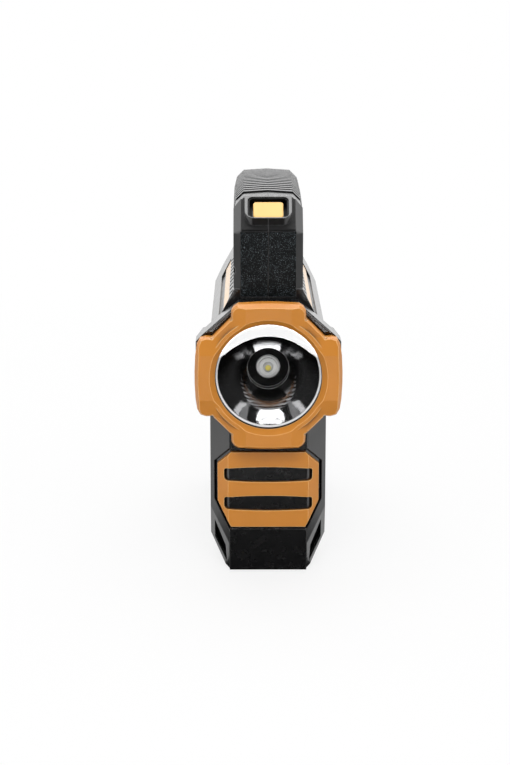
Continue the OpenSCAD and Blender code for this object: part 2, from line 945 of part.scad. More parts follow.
// Sunk face between the bezel's diagonal edge and the collar's rim
module collar_channel() {
  along_depth(collar_front - over, collar_front + 1.2)
    polygon([
      [0, lamp_z + lamp_r + 1.5],
      [lobe_w / 2 + 12, lamp_z + ear_h / 2 - 3],
      [collar_w / 2 - 4, lamp_z + ear_h / 2 - 0.4],
      [lobe_w / 2 - 1, lamp_z + collar_rise - 4.6],
      [0, lamp_z + collar_rise - 4.6]
    ]);
}

module lens() {
  color("#dfe8ee", 0.3)
    placed()
      barrel(0, lamp_z, lamp_r, lens_front, seal_front);
}

module lens_seal() {
  color("#1a1a1a")
    placed()
      difference() {
        barrel(0, lamp_z, lamp_r, seal_front, flange_front);
        barrel(0, lamp_z, window_r + 1.4, seal_front - over, flange_front + over);
      }
}

// Bowl of the reflector: a slanted mouth with a small step, then a parabola down to the emitter well
mouth_w = 1.2;
mouth_slant = 0.9;
mouth_step = 0.4;
mouth_r = window_r - mouth_w;
curve_d = bowl_d - mouth_slant - mouth_step;
bowl_k = (pow(mouth_r, 2) - pow(well_r, 2)) / curve_d;
bowl_vertex = bowl_front + bowl_d + pow(well_r, 2) / bowl_k;
bowl_steps = 20;
bowl_t = 1.1;

function bowl_curve(grow) = [
  for (i = [0 : bowl_steps])
    let (
      r = well_r + (mouth_r - well_r) * i / bowl_steps,
      slope = 2 * r / bowl_k,
      out = grow / sqrt(1 + slope * slope)
    )
    [r + out * slope, -(bowl_vertex - pow(r, 2) / bowl_k) - out]
];

module reflector() {
  inner = bowl_curve(0);
  outer = bowl_curve(bowl_t);
  rim = window_r + 1.1;
  color("#d8dadc")
    placed()
      translate([0, 0, lamp_z])
        rotate([90, 0, 0])
          rotate_extrude($fn = 96)
            polygon(concat(
              [for (i = [0 : bowl_steps]) inner[i]],
              [
                [mouth_r, -bowl_front - mouth_slant],
                [window_r + 0.2, -bowl_front],
                [rim, -bowl_front],
                [rim, -flange_front],
                [lamp_r, -flange_front],
                [lamp_r, -flange_back],
                [outer[bowl_steps - 1].x, -flange_back]
              ],
              [for (i = [bowl_steps - 2 : -1 : 0]) outer[i]]
            ));
}

well_front = bowl_front + bowl_d + bowl_t;

module led_shroud() {
  color("#101010")
    placed()
      difference() {
        barrel(0, lamp_z, well_r + 1, well_front, led_board_d);
        barrel(0, lamp_z, well_r - 0.3, well_front - over, led_board_d - 1);
        barrel(0, lamp_z, emitter_r + gap, well_front, led_board_d + over);
      }
}

module led_board() {
  color("#e7e7e2")
    placed()
      difference() {
        barrel(0, lamp_z, well_r + 1, led_board_d, sink_d);
        for (a = [45 : 90 : 315])
          barrel((well_r + 1) * cos(a), lamp_z + (well_r + 1) * sin(a), 1.6, led_board_d - over, sink_d + over);
      }
}

emitter_d = led_board_d - 2.4;
dome_r = 2.6;

module led_emitter() {
  color("#b9bcc0")
    placed() {
      barrel(0, lamp_z, emitter_r, led_board_d - 1.4, led_board_d);
      barrel(0, lamp_z, emitter_r - 1.1, emitter_d, led_board_d);
    }
}

module led_dome() {
  color("#f2e7a8")
    placed()
      difference() {
        translate([0, emitter_d, lamp_z])
          sphere(dome_r);
        block([-dome_r - 1, emitter_d, lamp_z - dome_r - 1], [dome_r + 1, emitter_d + dome_r + 1, lamp_z + dome_r + 1]);
      }
}

fins = 7;
fin_l = 12;
sink_t = 3;

module heat_sink() {
  color("#9a9da1")
    placed() {
      barrel(0, lamp_z, tube_r + tube_t, sink_d, sink_d + sink_t);
      intersection() {
        barrel(0, lamp_z, tube_r, sink_d, sink_d + sink_t + fin_l);
        for (i = [0 : fins - 1])
          let (x = (i - (fins - 1) / 2) * 5)
          block([x - 0.8, sink_d, lamp_z - tube_r], [x + 0.8, sink_d + sink_t + fin_l, lamp_z + tube_r]);
      }
    }
}

// ---- Front bumper plate and panel ----

panel_outline = both([
  [panel_edge_w / 2, panel_low],
  [panel_w / 2, panel_low + panel_cut_low],
  [panel_w / 2, panel_high - panel_cut_high],
  [panel_edge_w / 2, panel_high]
]);
groove_outline = inset(panel_outline, -panel_groove);

// Where the groove's lower slanted edge comes in to the width of the bumper
function level_at(p, q, x) = p.y + (q.y - p.y) * (x - p.x) / (q.x - p.x);
bumper_top = level_at(groove_outline[0], groove_outline[1], front_w / 2);
neck_top = lamp_z - bezel_h / 2 + 2.6;

plate_outline = both([
  [front_w / 2, 0],
  [front_w / 2, bumper_top],
  groove_outline[1],
  groove_outline[2],
  [front_w / 2 + 0.4, level_at(groove_outline[2], groove_outline[3], front_w / 2 + 0.4)],
  [front_w / 2 + 0.4, neck_top + 4]
]);

// The skin of the case between two depths below its surface, inside an outline of the front view
module front_skin(t0, t1) {
  intersection() {
    along_depth(face_d - 5, face_d + 22)
      children();
    difference() {
      case_block(t0);
      case_block(t1);
    }
  }
}

// A slot with a bowed top and bottom and rounded corners, or a bar that leaves a gap inside it
module slot_shape(shrink) {
  r = slot_corner - shrink;
  end_half = slot_end_h / 2 - shrink;
  reach = slot_l / 2 - shrink - r;
  rise = (slot_h - slot_end_h) / 2;
  upper = [for (i = [-6 : 6]) [reach * i / 6, end_half + rise * (1 - pow(i / 6, 2))]];
  polygon(concat(upper, [for (i = [12 : -1 : 0]) [upper[i].x, -upper[i].y]]));
  for (side = [-1, 1]) {
    translate([side * reach, 0])
      square([2 * r, 2 * (end_half - r)], center = true);
    for (level = [-1, 1])
      translate([side * reach, level * (end_half - r)])
        circle(r);
  }
}

module slots(shrink) {
  for (z = [slot_low, slot_low + slot_pitch])
    translate([0, z])
      slot_shape(shrink);
}

module front_plate() {
  color("#1c1c1e")
    placed() {
      difference() {
        front_skin(0, plate_t)
          polygon(plate_outline);
        front_skin(-1, panel_seat)
          polygon(groove_outline);
        collar_socket();
        feet();
      }
      front_skin(-panel_proud + 1.1, panel_seat + 0.5)
        slots(gap);
    }
}

module front_panel() {
  color("#d9903f")
    placed()
      difference() {
        front_skin(-panel_proud, panel_seat)
          polygon(panel_outline);
        front_skin(-panel_proud - 1, panel_seat + 1)
          slots(0);
      }
}

// Space that the collar takes out of the front of the case
module collar_socket() {
  along_depth(0, seat_d)
    polygon(collar_outline);
}

// ---- Housing halves ----

// The hollow stops short of the front, where the bumper plate and the corners need a solid nose
hollow_front = face_d + plate_t + 5;

module hollow() {
  difference() {
    intersection() {
      case_block(wall);
      block([-far, hollow_front, 0], [far, far * 2, crown_z - wall]);
    }
    corner_cuts(wall + pocket_d);
    for (side = [0, 1])
      mirror([side, 0, 0])
        shoulder_backing();
  }
  post_hollow();
}

// Shaft in the front post that the switch's leads run down
shaft_w = 16;
shaft_front = post_front + 11;

module post_hollow() {
  block(
    [-shaft_w / 2, shaft_front, crown_z - wall - 1],
    [shaft_w / 2, gap_front - wall, brow_z + 1]
  );
}

// Places of the case screws in the side view
screw_spots = [
  [face_d + 22, foot_proud + wall + 4.4],
  [case_back - 18, foot_proud + wall + 4.4],
  [face_d + 60, crown_z - 11],
  [case_back - 40, crown_z - 11],
  [post_front + 6, crown_z + 9],
  [back_post - back_post_t / 2, crown_z + 12]
];
boss_r = 3.8;
head_r = 2.9;
head_x = 12;
tip_x = 9;

module screw_bosses() {
  for (p = [for (i = [0 : 3]) screw_spots[i]])
    intersection() {
      crossbar(p.x, p.y, boss_r, -far, far);
      case_block(wall / 2);
    }
}

module screw_holes() {
  for (p = screw_spots) {
    crossbar(p.x, p.y, screw_r + 0.1, -head_x, tip_x + 1);
    crossbar(p.x, p.y, head_r + gap, -far, -head_x);
  }
}

bay_flange = 1.5;
flange_grow = 1.3;

module socket_bay_opening() {
  block([-bay_w / 2, case_back - wall - over, bay_low], [bay_w / 2, case_back + over, bay_high]);
}

foot_w = 26;
foot_l = 14;
foot_t = 2;
foot_spots = [face_d + 6, case_back - 6 - foot_l];

module feet() {
  for (d = foot_spots)
    block([-foot_w / 2, d, 0], [foot_w / 2, d + foot_l, foot_t]);
}

// Shallow field that runs along each flat side
module side_fields() {
  for (side = [0, 1])
    mirror([side, 0, 0])
      across(case_w / 2 - 0.8, case_w)
        polygon([
          [face_d + 26, taper_z + 4],
          [case_back - 12, taper_z + 4],
          [case_back - 12, side_z - 18],
          [case_back - 26, side_z - 4],
          [face_d + 38, side_z - 4],
          [face_d + 26, side_z - 16]
        ]);
}

module housing_shell() {
  difference() {
    union() {
      difference() {
        union() {
          case_block(0);
          handle_body();
        }
        hollow();
      }
      screw_bosses();
    }
    screw_holes();
    collar_socket();
    barrel(0, lamp_z, tube_r + tube_t + gap, seat_d - over, hollow_front + 12);
    front_skin(-1, plate_t)
      polygon(plate_outline);
    corner_pockets();
    pad_zone();
    block(
      [-front_pad_w / 2 - 0.1, post_front - over, front_pad_low - 0.1],
      [front_pad_w / 2 + 0.1, post_front + front_pad_t, front_pad_high + 0.1]
    );
    for (side = [0, 1])
      mirror([side, 0, 0])
        shoulder_field();
    side_fields();
    socket_bay_opening();
    feet();
    button_pocket();
  }
}

module housing_left() {
  color("#29292b")
    placed()
      half(-1)
        housing_shell();
}

module housing_right() {
  color("#29292b")
    placed()
      half(1)
        housing_shell();
}

module case_screws() {
  color("#8f9296")
    placed()
      for (p = screw_spots) {
        crossbar(p.x, p.y, screw_r, -head_x, tip_x);
        difference() {
          crossbar(p.x, p.y, head_r, -head_x - 2.2, -head_x);
          translate([-head_x - 2.8, p.x, p.y])
            for (turn = [0, 90])
              rotate([turn, 0, 0])
                cube([2.2, 3.6, 0.8], center = true);
        }
      }
}

module rubber_feet() {
  color("#161616")
    placed()
      feet();
}

// ---- Power button ----

seal_wall = 0.9;
stem_w = 6;
stem_l = 4;
switch_t = 3.4;
recess_d = button_sink + button_t + button_travel + gap;
stem_end = -recess_d - 3;

// Recess in the boss, with the hole under it for the button's stem
module button_pocket() {
  on_boss(recess_s)
    translate([0, 0, -recess_d])
      linear_extrude(recess_d + 6)
        rounded_bar(recess_w, recess_l, 2.4);
  on_boss(button_s)
    translate([0, 0, -recess_d - 12])
      linear_extrude(14)
        square([stem_w + 2 * gap, stem_l + 2 * gap], center = true);
}

// Rubber liner of the recess, with an opening that the button moves in
module button_seal() {
  color("#0d0d0d")
    placed()
      difference() {
        on_boss(recess_s)
          translate([0, 0, -recess_d])
            linear_extrude(recess_d - 0.4)
              rounded_bar(recess_w - 0.1, recess_l - 0.1, 2.35);
        on_boss(recess_s)
          translate([0, 0, -recess_d + 1])
            linear_extrude(recess_d)
              rounded_bar(recess_w - 2 * seal_wall, recess_l - 2 * seal_wall, 1.6);
        on_boss(button_s)
          translate([0, 0, -recess_d - over])
            linear_extrude(recess_d + 6)
              rounded_bar(button_w + 2 * gap, button_l + 2 * gap, button_corner + gap);
      }
}

module power_button() {
  color("#f0bd62")
    placed()
      on_boss(button_s) {
        translate([0, 0, -button_sink - button_t])
          linear_extrude(button_t)
            rounded_bar(button_w, button_l, button_corner);
        translate([0, 0, stem_end])
          linear_extrude(-stem_end - button_sink - 1)
            square([stem_w, stem_l], center = true);
      }
}

module power_switch() {
  color("#3f4a44")
    placed()
      on_boss(button_s)
        translate([0, 0, stem_end - button_travel - gap - switch_t])
          linear_extrude(switch_t)
            square([stem_w, stem_l], center = true);
}

// ---- Battery ----

pack_w = cells * cell_t + (cells - 1) * foam_t;
tray_half = pack_w / 2 + tray_t + gap / 2;
tray_l = cell_l + 2 * (tray_end_t + gap);
// The tray lies halfway between the case's solid nose and the tips of the output contacts
nose_room = 10;
socket_mouth = case_back - 0.4;
socket_l = 22;
contact_reach = 5;
contact_tip = socket_mouth - socket_l - contact_reach;
tray_front = (hollow_front + nose_room + contact_tip - tray_l) / 2;
tray_z = foot_proud + wall + 9;
cell_front = tray_front + tray_end_t + gap;
cell_z = tray_z + tray_t;
tray_back = tray_front + tray_l;
tray_top = board_z;

module battery_tray() {
  color("#3c3f45")
    placed() {
      difference() {
        block([-tray_half, tray_front, tray_z], [tray_half, tray_back, tray_top]);
        block(
          [-tray_half + tray_t, tray_front + tray_end_t, cell_z],
          [tray_half - tray_t, tray_back - tray_end_t, tray_top + over]
        );
        for (p = board_holes)
          translate([p.x, p.y, tray_top - board_screw_l])
            cylinder(h = board_screw_l + over, r = board_screw_r);
        across(-far, far)
          polygon([
            [tray_front + 14, tray_z + 34],
            [tray_back - 14, tray_z + 34],
            [tray_back - 14, tray_top + 1],
            [tray_front + 14, tray_top + 1]
          ]);
        block(
          [-tray_half + 8, tray_front - 1, tray_z + 34],
          [tray_half - 8, tray_back + 1, tray_top + 1]
        );
      }
      for (x = [-13, 13])
        block([x - 1.5, tray_front + 16, foot_proud + wall], [x + 1.5, tray_back - 16, tray_z]);
    }
}

module battery_cell(i) {
  x = -pack_w / 2 + i * (cell_t + foam_t);
  tab = 0.4;
  color("#c7c9cc")
    placed() {
      block([x, cell_front, cell_z], [x + cell_t, cell_front + cell_l, cell_z + cell_h]);
      for (d = [cell_front + 16, cell_front + 40])
        block(
          [x + cell_t / 2 - tab / 2, d, cell_z + cell_h],
          [x + cell_t / 2 + tab / 2, d + 10, cell_z + cell_h + 4]
        );
    }
}

module battery_cell_1() { battery_cell(0); }
module battery_cell_2() { battery_cell(1); }
module battery_cell_3() { battery_cell(2); }
module battery_cell_4() { battery_cell(3); }

module cell_foam() {
  color("#565656")
    placed()
      for (i = [1 : cells - 1])
        let (x = -pack_w / 2 + i * (cell_t + foam_t) - foam_t)
        block([x, cell_front + 4, cell_z + 3], [x + foam_t, cell_front + cell_l - 4, cell_z + cell_h - 3]);
}

// Nickel-plated bars that join the cell tabs into one pack
module busbars() {
  bar_t = 0.8;
  pitch = cell_t + foam_t;
  first = -pack_w / 2 + cell_t / 2;
  color("#b8a06a")
    placed() {
      block(
        [first - 3, cell_front + 16, cell_z + cell_h + 4],
        [first + pitch + 3, cell_front + 26, cell_z + cell_h + 4 + bar_t]
      );
      block(
        [first + 2 * pitch - 3, cell_front + 16, cell_z + cell_h + 4],
        [first + 3 * pitch + 3, cell_front + 26, cell_z + cell_h + 4 + bar_t]
      );
      block(
        [first + pitch - 3, cell_front + 40, cell_z + cell_h + 4],
        [first + 2 * pitch + 3, cell_front + 50, cell_z + cell_h + 4 + bar_t]
      );
    }
}

// ---- Main board ----

board_front = tray_front;
board_back = tray_back;
board_holes = [
  for (x = [-1, 1])
    for (d = [tray_front + tray_end_t / 2, tray_back - tray_end_t / 2])
    [x * (tray_half - 4.5), d]
];
board_screw_r = 1.1;
board_screw_l = 7;

module main_board() {
  color("#1f5a36")
    placed()
      difference() {
        block([-tray_half, board_front, board_z], [tray_half, board_back, board_z + board_t]);
        block(
          [-tray_half + 8.6, board_front - over, board_z - over],
          [tray_half - 8.6, sink_d + sink_t + fin_l + 2, board_z + board_t + over]
        );
        for (p = board_holes)
          translate([p.x, p.y, board_z - over])
            cylinder(h = board_t + 2 * over, r = board_screw_r + gap);
      }
}

module board_parts() {
  top = board_z + board_t;
  mid = (board_front + board_back) / 2;
  color("#232428")
    placed() {
      for (i = [0 : 2])
        translate([-12, board_front + 34 + i * 14, top])
          cylinder(h = 15, r = 5);
      for (i = [0 : 3])
        block([2 + 4.6 * i, mid + 8, top], [4.6 + 4.6 * i, mid + 18, top + 14]);
      block([-4, board_front + 30, top], [16, board_front + 46, top + 12]);
      block([-14, mid + 26, top], [-2, mid + 38, top + 2.4]);
    }
}

module board_screws() {
  color("#8f9296")
    placed()
      for (p = board_holes) {
        translate([p.x, p.y, board_z + board_t])
          cylinder(h = 1.6, r = 2.2);
        translate([p.x, p.y, board_z - board_screw_l])
          cylinder(h = board_screw_l + board_t + 1, r = board_screw_r);
      }
}

// ---- Socket bay at the back ----

bay_front = case_back - bay_t;
hinge_z = bay_low + 4;
hinge_d = case_back + barrel_r;
ear_w = 4;
ear_half = cover_w / 2 - 2;
cover_low = hinge_z + barrel_r;
cover_high = hinge_z + cover_h;

// Sockets in the view from behind: distance from the middle and height
output_at = [-5, hinge_z + 13];
output_size = [24, 12];
contact_x = 5.2;
contact_r = 2.5;
charge_at = [12.6, hinge_z + 13];
charge_r = 4.6;
usb_at = [[-9.4, hinge_z + 31], [9.4, hinge_z + 31]];
usb_size = [14.6, 7.2];
check_at = [-13, cover_high + 11];
lamp_at = [[-2, cover_high + 11], [4, cover_high + 11], [10, cover_high + 11], [16, cover_high + 11]];
lamp_w = 3;
lamp_h = 6;

module window(at, size, d0, d1) {
  block([at.x - size.x / 2, d0, at.y - size.y / 2], [at.x + size.x / 2, d1, at.y + size.y / 2]);
}

module seal_ring(grow) {
  difference() {
    translate([0, (cover_low + cover_high) / 2])
      rounded_bar(cover_w - 1.6 + 2 * grow, cover_high - cover_low - 3 + 2 * grow, 2.4 + grow);
    translate([0, (cover_low + cover_high) / 2])
      rounded_bar(cover_w - 4 - 2 * grow, cover_high - cover_low - 5.4 - 2 * grow, 1.4);
  }
}

module socket_panel() {
  color("#1f1f21")
    placed()
      difference() {
        union() {
          block([-bay_w / 2, bay_front, bay_low], [bay_w / 2, case_back, bay_high]);
          block(
            [-bay_w / 2 - flange_grow, case_back - wall - bay_flange, bay_low - flange_grow],
            [bay_w / 2 + flange_grow, case_back - wall, bay_high + flange_grow]
          );
          for (side = [-1, 1])
            hinge_ear(side);
        }
        window(output_at, output_size, bay_front - 5, case_back + over);
        for (at = usb_at)
          window(at, usb_size, bay_front - 5, case_back + over);
        barrel(charge_at.x, charge_at.y, charge_r + 0.1, bay_front - 5, case_back + over);
        barrel(check_at.x, check_at.y, check_r + gap, bay_front - 5, case_back + over);
        for (at = lamp_at)
          window(at, [lamp_w, lamp_h], bay_front - 5, case_back + over);
        crossbar(hinge_d, hinge_z, hinge_pin_r + pin_fit, -far, far);
        along_depth(case_back - 1.2, case_back + over)
          seal_ring(0);
      }
}

// Hinge ear: a round knuckle with a foot on the panel
module hinge_ear(side) {
  x0 = side > 0 ? ear_half - ear_w : -ear_half;
  crossbar(hinge_d, hinge_z, barrel_r, x0, x0 + ear_w);
  block([x0, case_back - 1, hinge_z - barrel_r], [x0 + ear_w, hinge_d, hinge_z + barrel_r]);
}

module port_seal() {
  color("#101010")
    placed()
      along_depth(case_back - 1.2, case_back)
        seal_ring(-0.05);
}

module port_cover() {
  inner = case_back + gap;
  knuckle = ear_half - ear_w - gap;
  color("#29292b")
    placed()
      difference() {
        union() {
          along_depth(inner, inner + cover_t)
            translate([0, (cover_low + cover_high) / 2 + gap])
              rounded_bar(cover_w, cover_high - cover_low - 2 * gap, 3);
          crossbar(hinge_d, hinge_z, barrel_r, -knuckle, knuckle);
          block([-knuckle, inner + 1, hinge_z], [knuckle, inner + cover_t, cover_low + 4]);
          block([-7, inner + 0.6, cover_high - 1], [7, inner + cover_t - 0.6, cover_high + 2.4]);
        }
        crossbar(hinge_d, hinge_z, hinge_pin_r + pin_fit, -far, far);
        for (i = [0 : 4])
          block(
            [-11, inner + cover_t - 0.8, cover_high - 7 - 3.2 * i],
            [11, inner + cover_t + over, cover_high - 5.4 - 3.2 * i]
          );
      }
}

module hinge_pin() {
  color("#a5a8ac")
    placed()
      crossbar(hinge_d, hinge_z, hinge_pin_r, -ear_half, ear_half);
}

module output_socket() {
  d1 = socket_mouth;
  d0 = d1 - socket_l;
  color("#2f5fa8")
    placed()
      difference() {
        window(output_at, output_size, d0, d1);
        window(output_at, output_size - [3, 3], d0 + 3, d1 + over);
        for (side = [-1, 1])
          barrel(output_at.x + side * contact_x, output_at.y, contact_r, d0 - over, d0 + 4);
      }
}

module output_contacts() {
  color("#c9a227")
    placed()
      for (side = [-1, 1])
        barrel(output_at.x + side * contact_x, output_at.y, contact_r, contact_tip, socket_mouth - 6);
}

module usb_sockets() {
  d1 = socket_mouth;
  d0 = socket_board_d;
  color("#b4b7ba")
    placed()
      for (at = usb_at) {
        difference() {
          window(at, usb_size, d0, d1);
          window(at, usb_size - [1.2, 1.2], d0 + 2, d1 + over);
        }
        window([at.x, at.y + 0.8], [11, 1.8], d0 + 1, d1 - 1.4);
      }
}

module charge_socket() {
  d1 = socket_mouth;
  color("#1b1b1d")
    placed() {
      difference() {
        barrel(charge_at.x, charge_at.y, charge_r, d1 - 14, d1);
        barrel(charge_at.x, charge_at.y, 3.1, d1 - 11, d1 + over);
      }
      barrel(charge_at.x, charge_at.y, 1.05, d1 - 12, d1 - 2);
    }
}

socket_room = 15;
socket_board_d = case_back - socket_room;
socket_board_w = bay_w - 5;

module socket_board() {
  color("#1f5a36")
    placed()
      block(
        [-socket_board_w / 2, socket_board_d - board_t, usb_at[0].y - 6],
        [socket_board_w / 2, socket_board_d, bay_high - 2]
      );
}

module indicator_lens() {
  color("#cfe6cf")
    placed()
      for (at = lamp_at)
        window(at, [lamp_w - 0.1, lamp_h - 0.1], socket_board_d, case_back);
}

module check_button() {
  color("#d9903f")
    placed() {
      barrel(check_at.x, check_at.y, check_r, bay_front - 1, case_back + 0.9);
      barrel(check_at.x, check_at.y, check_r + 1.2, bay_front - 2.4, bay_front - 0.6 - over + 0.2);
    }
}

module check_switch() {
  color("#3f4a44")
    placed()
      window(check_at, [6, 6], socket_board_d, bay_front - 2.4 - check_travel - gap);
}

housing_left();
housing_right();
head_collar();
bezel();
lens();
lens_seal();
reflector();
led_shroud();
led_board();
led_emitter();
led_dome();
heat_sink();
front_plate();
front_panel();
shoulder_panel_left();
shoulder_panel_right();
front_pad_left();
front_pad_right();
grip_pad();
button_seal();
power_button();
power_switch();
battery_tray();
battery_cell_1();
battery_cell_2();
battery_cell_3();
battery_cell_4();
cell_foam();
busbars();
main_board();
board_parts();
board_screws();
socket_panel();
output_socket();
output_contacts();
usb_sockets();
charge_socket();
socket_board();
indicator_lens();
check_button();
check_switch();
port_seal();
port_cover();
hinge_pin();
case_screws();
rubber_feet();
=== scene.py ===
"""Looks of the hand-held jump starter: finishes, softened edges, camera and studio, in metres."""

import math

import bpy
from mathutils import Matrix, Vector

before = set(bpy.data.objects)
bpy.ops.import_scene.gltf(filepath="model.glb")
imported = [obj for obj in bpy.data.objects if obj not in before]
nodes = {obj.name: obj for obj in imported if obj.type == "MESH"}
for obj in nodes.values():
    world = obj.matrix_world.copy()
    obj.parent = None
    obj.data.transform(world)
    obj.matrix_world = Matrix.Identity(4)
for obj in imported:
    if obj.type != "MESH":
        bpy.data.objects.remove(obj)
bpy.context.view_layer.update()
scene = bpy.context.scene

MM = 0.001
# Depth of the bezel's foremost face
FRONT = -91 * MM
# Height of the lamp's axis
LAMP_Z = 103.9 * MM

# ---- Shader nodes ----


def fill(tree, node, inputs):
    """Links or sets the inputs of a node."""
    for key, value in inputs.items():
        if isinstance(value, bpy.types.NodeSocket):
            tree.links.new(value, node.inputs[key])
        else:
            node.inputs[key].default_value = value


def add(tree, kind, inputs=None, **settings):
    """A new node with its settings and its inputs."""
    node = tree.nodes.new(kind)
    for key, value in settings.items():
        setattr(node, key, value)
    fill(tree, node, inputs or {})
    return node


def maths(tree, operation, *values):
    """The result of one step of arithmetic."""
    return add(tree, "ShaderNodeMath", dict(enumerate(values)), operation=operation).outputs[0]


def vector_maths(tree, operation, *values):
    """The results of one step of arithmetic on vectors: Vector, or Value where it is a number."""
    inputs = dict(enumerate(values))
    return add(tree, "ShaderNodeVectorMath", inputs, operation=operation).outputs


def either(tree, a, b):
    """The larger of two values."""
    return maths(tree, "MAXIMUM", a, b)


def noise(tree, coords, scale, detail=2.0, roughness=0.5):
    """A cloudy texture with the given number of clouds a metre."""
    inputs = {"Vector": coords, "Scale": scale, "Detail": detail, "Roughness": roughness}
    return add(tree, "ShaderNodeTexNoise", inputs).outputs["Fac"]


def spread(tree, value, low, high, start=0.3, end=0.7):
    """Maps start..end to low..high. Unless given, start..end is a texture's middle range."""
    inputs = {0: value, 1: start, 2: end, 3: low, 4: high}
    return add(tree, "ShaderNodeMapRange", inputs).outputs["Result"]


def mixed(tree, how, factor, a, b):
    """Two colours mixed. Each is three numbers or a socket."""
    mix = add(tree, "ShaderNodeMix", {0: factor}, data_type="RGBA", blend_type=how)
    for place, colour in ((6, a), (7, b)):
        socket = isinstance(colour, bpy.types.NodeSocket)
        fill(tree, mix, {place: colour if socket else (*colour, 1)})
    return mix.outputs[2]


def tinted(tree, colour, factor):
    """The colour times a factor."""
    return mixed(tree, "MULTIPLY", 1.0, colour, factor)


def surface(tree, output):
    tree.links.new(output, tree.nodes["Material Output"].inputs["Surface"])


def start_material(name):
    """A new material, its node tree, its shader and the coordinates on the object."""
    mat = bpy.data.materials.new(name)
    mat.use_nodes = True
    tree = mat.node_tree
    coords = add(tree, "ShaderNodeTexCoord").outputs["Object"]
    return mat, tree, tree.nodes["Principled BSDF"], coords


def rounded_edges(tree, radius):
    """Normals that run round the edges."""
    return add(tree, "ShaderNodeBevel", {"Radius": radius}, samples=6).outputs["Normal"]


def edge_mask(tree, rounded):
    """1 on an edge and 0 on a face: how far rounded normals depart from the face's own."""
    own = add(tree, "ShaderNodeNewGeometry").outputs["True Normal"]
    match = vector_maths(tree, "DOT_PRODUCT", rounded, own)["Value"]
    return spread(tree, match, 1.0, 0.0, 0.90, 0.995)


def bump(tree, shader, height, strength, distance, normal=None):
    """Relief in the shader's base and in its coat, on top of the given normals."""
    inputs = {"Strength": strength, "Distance": distance, "Height": height}
    if normal:
        inputs["Normal"] = normal
    relief = add(tree, "ShaderNodeBump", inputs).outputs["Normal"]
    fill(tree, shader, {"Normal": relief, "Coat Normal": relief})


# ---- Kinds of material ----

# Clouds a metre in the colour and in the gloss of a moulding
MOTTLES = 55.0
SMEARS = 160.0
# Depth of a moulding's grain, and how close a wall makes a corner darker with painted shade
GRAIN_DEPTH = 0.04 * MM
SHADE_REACH = 4 * MM


def grey(level):
    return (level, level, level)


def moulded(
    name,
    colour,
    rough,
    grain_mm=0.3,
    grain=0.35,
    mottle=0.05,
    specular=0.5,
    coat=0.0,
    edge=0.3,
    edge_highlight=None,
    corner_shade=None,
):
    """Moulded plastic or rubber: a slight mottle, an uneven gloss, a spark-eroded grain and rounded
    edges. The edge colour is a painted highlight, a paler colour on edges and creases; the corner
    level is painted shade, the darkness of corners near a wall."""
    mat, tree, shader, coords = start_material(name)
    cloud = noise(tree, coords, MOTTLES, 3.0)
    base = tinted(tree, colour, spread(tree, cloud, 1 - mottle, 1 + mottle))
    rounded = rounded_edges(tree, edge * MM)
    # Painted highlight: edges and creases are lightened towards the paler edge colour
    if edge_highlight:
        base = mixed(tree, "MIX", edge_mask(tree, rounded), base, edge_highlight)
    # Painted shade: corners near a wall are darkened
    if corner_shade:
        sky = add(tree, "ShaderNodeAmbientOcclusion", {"Distance": SHADE_REACH}, samples=8)
        base = tinted(tree, base, spread(tree, sky.outputs["AO"], corner_shade, 1.0, 0.45, 0.95))
    smear = noise(tree, coords, SMEARS, 4.0, 0.6)
    inputs = {
        "Base Color": base,
        "Roughness": spread(tree, smear, rough - 0.05, rough + 0.05),
        "Specular IOR Level": specular,
        "Coat Weight": coat,
        "Coat Roughness": 0.2,
    }
    fill(tree, shader, inputs)
    grit = noise(tree, coords, 1 / (grain_mm * MM))
    bump(tree, shader, grit, grain, GRAIN_DEPTH, rounded)
    return mat


# Pads on the handle: pimples and coarser clouds a metre, their depth, rounding of the edges
PIMPLES = 2900.0
COARSE = 1700.0
PIMPLE_DEPTH = 0.14 * MM
PAD_EDGE = 0.3 * MM


def pimpled(name, colour, painted_glint, rough):
    """Coarse grain of the pads on the front of the handle, with pale dots painted on as glints."""
    mat, tree, shader, coords = start_material(name)
    inputs = {"Vector": coords, "Scale": PIMPLES}
    cells = add(tree, "ShaderNodeTexVoronoi", inputs, feature="F1").outputs
    dots = spread(tree, cells["Distance"], 1.0, 0.0, 0.12, 0.42)
    chance = add(tree, "ShaderNodeSeparateColor", {0: cells["Color"]}).outputs[0]
    lit = maths(tree, "MULTIPLY", dots, spread(tree, chance, 0.0, 1.0, 0.45, 1.1))
    # Painted glints: pale dots at the pimples' middles, brighter at random
    inputs = {
        "Base Color": mixed(tree, "MIX", lit, colour, painted_glint),
        "Roughness": rough,
        "Specular IOR Level": 0.3,
    }
    fill(tree, shader, inputs)
    rounded = rounded_edges(tree, PAD_EDGE)
    bump(tree, shader, noise(tree, coords, COARSE, 3.0, 0.7), 0.9, PIMPLE_DEPTH, rounded)
    return mat


# Streaks a metre in a metal, and how much shorter they are from top to bottom if brushed
STREAKS = 220.0
DRAWN_OUT = 30


def metal(name, colour, rough, brushed=False, dirt=0.0):
    """Bare metal, cloudy or brushed."""
    mat, tree, shader, coords = start_material(name)
    inputs = {"Vector": coords, "Scale": (1, 1, DRAWN_OUT if brushed else 1)}
    stretched = add(tree, "ShaderNodeMapping", inputs).outputs["Vector"]
    streaks = noise(tree, stretched, STREAKS, 4.0, 0.6)
    inputs = {
        "Metallic": 1.0,
        "Base Color": tinted(tree, colour, spread(tree, streaks, 0.92 - dirt, 1.03)),
        "Roughness": spread(tree, streaks, rough - 0.03, rough + 0.05),
    }
    fill(tree, shader, inputs)
    bump(tree, shader, streaks, 0.05, 0.02 * MM)
    return mat


